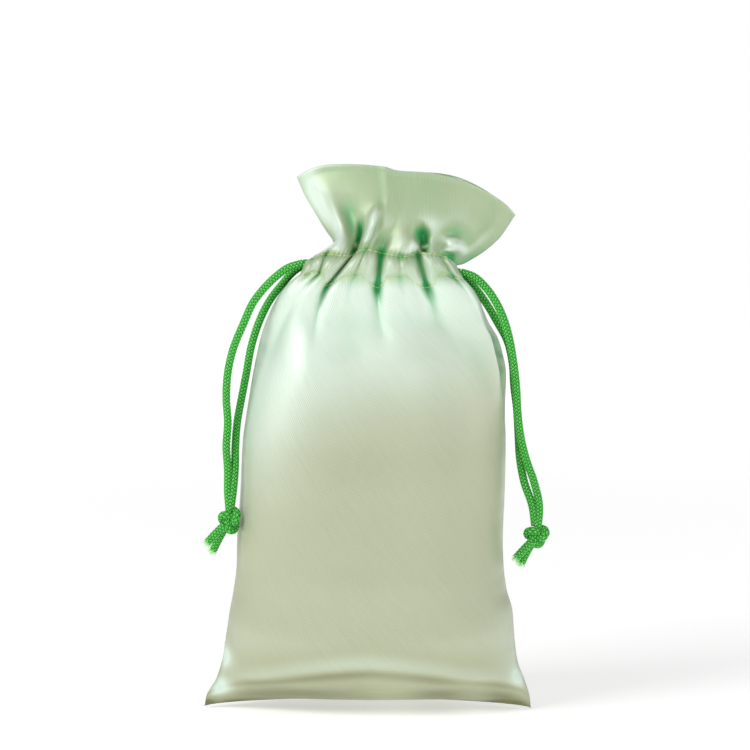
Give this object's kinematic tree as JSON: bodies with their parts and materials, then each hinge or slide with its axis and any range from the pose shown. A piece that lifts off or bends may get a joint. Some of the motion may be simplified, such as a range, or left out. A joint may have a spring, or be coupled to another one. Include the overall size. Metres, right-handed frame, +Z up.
{
  "type": "drawstring gift sack",
  "caption": "Satin gift sack with a gathered neck, a ruffled mouth and braided drawcords knotted at both sides, standing upright.",
  "frame": {"origin": "centre of the underside, on the surface that the sack stands on", "axes": "+Z up through the mouth, -Y the front panel, +X the viewer's right when the front is seen"},
  "size_m": [0.1259, 0.054, 0.197],
  "materials": {
    "satin": "pale green satin",
    "cord": "bright green braid",
    "sewing_thread": "yellow green thread"
  },
  "bodies": {
    "sack": {"front_panel": "satin", "back_panel": "satin", "front_facing": "satin", "back_facing": "satin", "front_upper_stitching": "sewing_thread", "front_lower_stitching": "sewing_thread", "back_upper_stitching": "sewing_thread", "back_lower_stitching": "sewing_thread", "left_side_seam": "satin", "right_side_seam": "satin", "bottom_seam": "satin", "left_side_stitching": "sewing_thread", "right_side_stitching": "sewing_thread", "bottom_stitching": "sewing_thread", "left_return": "cord", "right_return": "cord"},
    "left_lead": {"left_front_run": "cord", "left_back_run": "cord"},
    "left_hang": {"left_front_strand": "cord", "left_back_strand": "cord", "left_knot": "cord", "left_tails": "cord"},
    "right_lead": {"right_front_run": "cord", "right_back_run": "cord"},
    "right_hang": {"right_front_strand": "cord", "right_back_strand": "cord", "right_knot": "cord", "right_tails": "cord"}
  },
  "joints": [
    {"name": "left_pull", "type": "slide", "parent": "sack", "child": "left_lead", "axis": [-1, 0, 0], "range_m": [0, 0.01]},
    {"name": "left_swing", "type": "hinge", "parent": "left_lead", "child": "left_hang", "pos_m": [-0.023, 0, 0.1616], "axis": [0, 1, 0], "range_deg": [0, 60]},
    {"name": "right_pull", "type": "slide", "parent": "sack", "child": "right_lead", "axis": [1, 0, 0], "range_m": [0, 0.01]},
    {"name": "right_swing", "type": "hinge", "parent": "right_lead", "child": "right_hang", "pos_m": [0.033, 0, 0.1584], "axis": [0, -1, 0], "range_deg": [0, 40]}
  ]
}
